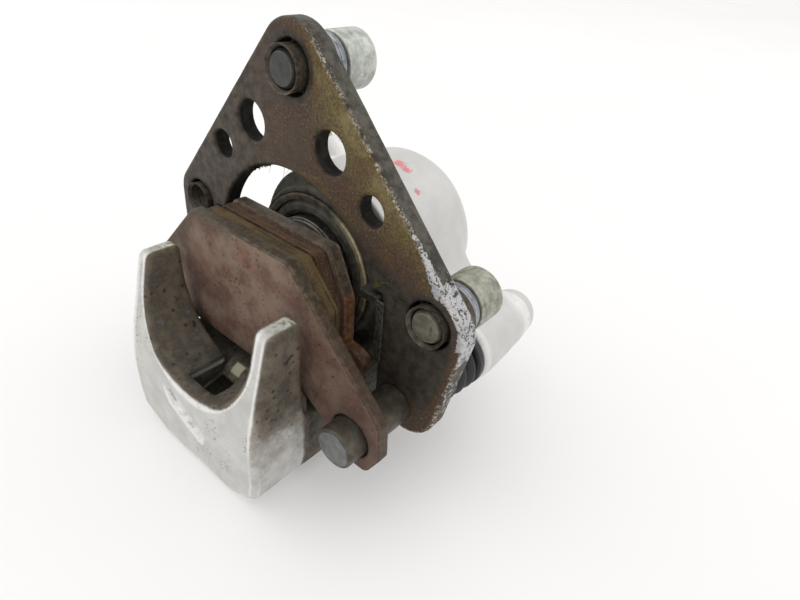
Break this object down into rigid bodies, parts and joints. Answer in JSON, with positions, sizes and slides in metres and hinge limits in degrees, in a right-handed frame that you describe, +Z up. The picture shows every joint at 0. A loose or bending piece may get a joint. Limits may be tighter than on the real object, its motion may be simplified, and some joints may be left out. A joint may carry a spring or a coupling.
{
  "type": "brake caliper",
  "caption": "Single-piston floating disc brake caliper on its bolt-on bracket, with pads, guide pins, seals, mounting bolts and bleeder.",
  "frame": {"origin": "on the flat underside of the bridge, straight below the piston axis, in the plane of the bracket's front face", "axes": "+Y from the claw towards the cylinder along the piston axis, +Z up from the bridge's flat, +X to the right seen from the claw side"},
  "size_m": [0.1259, 0.1145, 0.128],
  "materials": {
    "cast_aluminium": "as-cast aluminium, grey, stained brown inside, edges worn bright",
    "bracket_steel": "dark grey-brown coating with rust speckle, worn silver along its front edge",
    "bush_steel": "dark oiled steel",
    "zinc_plate": "dull zinc plating",
    "washer_steel": "dark bluish plated steel",
    "pin_steel": "grey-brown steel, greasy",
    "pad_backing": "dusty steel plate with rust-red patches",
    "pad_lining": "olive-brown friction material",
    "shim_steel": "plain steel sheet",
    "piston_steel": "ground and plated steel",
    "black_rubber": "matt black rubber, dusty",
    "spring_steel": "dull spring steel",
    "plated_bleeder": "yellow-passivated steel"
  },
  "bodies": {
    "bracket": {"bracket_plate": "bracket_steel", "mount_bush_top": "bush_steel", "mount_bush_right": "bush_steel", "mount_bush_left": "bush_steel", "mount_bolt_top": "zinc_plate", "mount_bolt_right": "zinc_plate", "flat_washer_top": "washer_steel", "flat_washer_right": "washer_steel", "spring_washer_top": "washer_steel", "spring_washer_right": "washer_steel", "guide_pin_right": "pin_steel", "guide_pin_left": "pin_steel", "pad_clip_right": "spring_steel", "pad_clip_left": "spring_steel"},
    "caliper": {"caliper_body": "cast_aluminium", "piston_seal": "black_rubber", "dust_seal": "black_rubber", "guide_boot_right": "black_rubber", "guide_boot_left": "black_rubber", "pad_spring": "spring_steel"},
    "piston": {"piston": "piston_steel"},
    "outer_pad": {"outer_backing_plate": "pad_backing", "outer_lining": "pad_lining"},
    "inner_pad": {"inner_backing_plate": "pad_backing", "inner_lining": "pad_lining", "inner_shim": "shim_steel"},
    "bleeder": {"bleeder_screw": "plated_bleeder", "bleeder_cap": "black_rubber"}
  },
  "joints": [
    {"name": "caliper_float", "type": "slide", "parent": "bracket", "child": "caliper", "axis": [0, 1, 0], "range_m": [-0.006, 0], "deforming": ["guide_boot_right", "guide_boot_left"]},
    {"name": "outer_pad_slide", "type": "slide", "parent": "bracket", "child": "outer_pad", "axis": [0, 1, 0], "range_m": [-0.006, 0]},
    {"name": "inner_pad_slide", "type": "slide", "parent": "bracket", "child": "inner_pad", "axis": [0, 1, 0], "range_m": [0, 0.0015]},
    {"name": "piston_slide", "type": "slide", "parent": "caliper", "child": "piston", "axis": [0, 1, 0], "range_m": [0, 0.0075]},
    {"name": "bleeder_turn", "type": "hinge", "parent": "caliper", "child": "bleeder", "pos_m": [-0.02687, 0.0395, 0.07987], "axis": [-0.7071, 0, 0.7071], "range_deg": [0, 180]}
  ],
  "couplings": [
    {"joint": "outer_pad_slide", "follows": "caliper_float", "ratio": 1},
    {"joint": "inner_pad_slide", "follows": "caliper_float", "ratio": -0.25},
    {"joint": "piston_slide", "follows": "caliper_float", "ratio": -1.25}
  ]
}
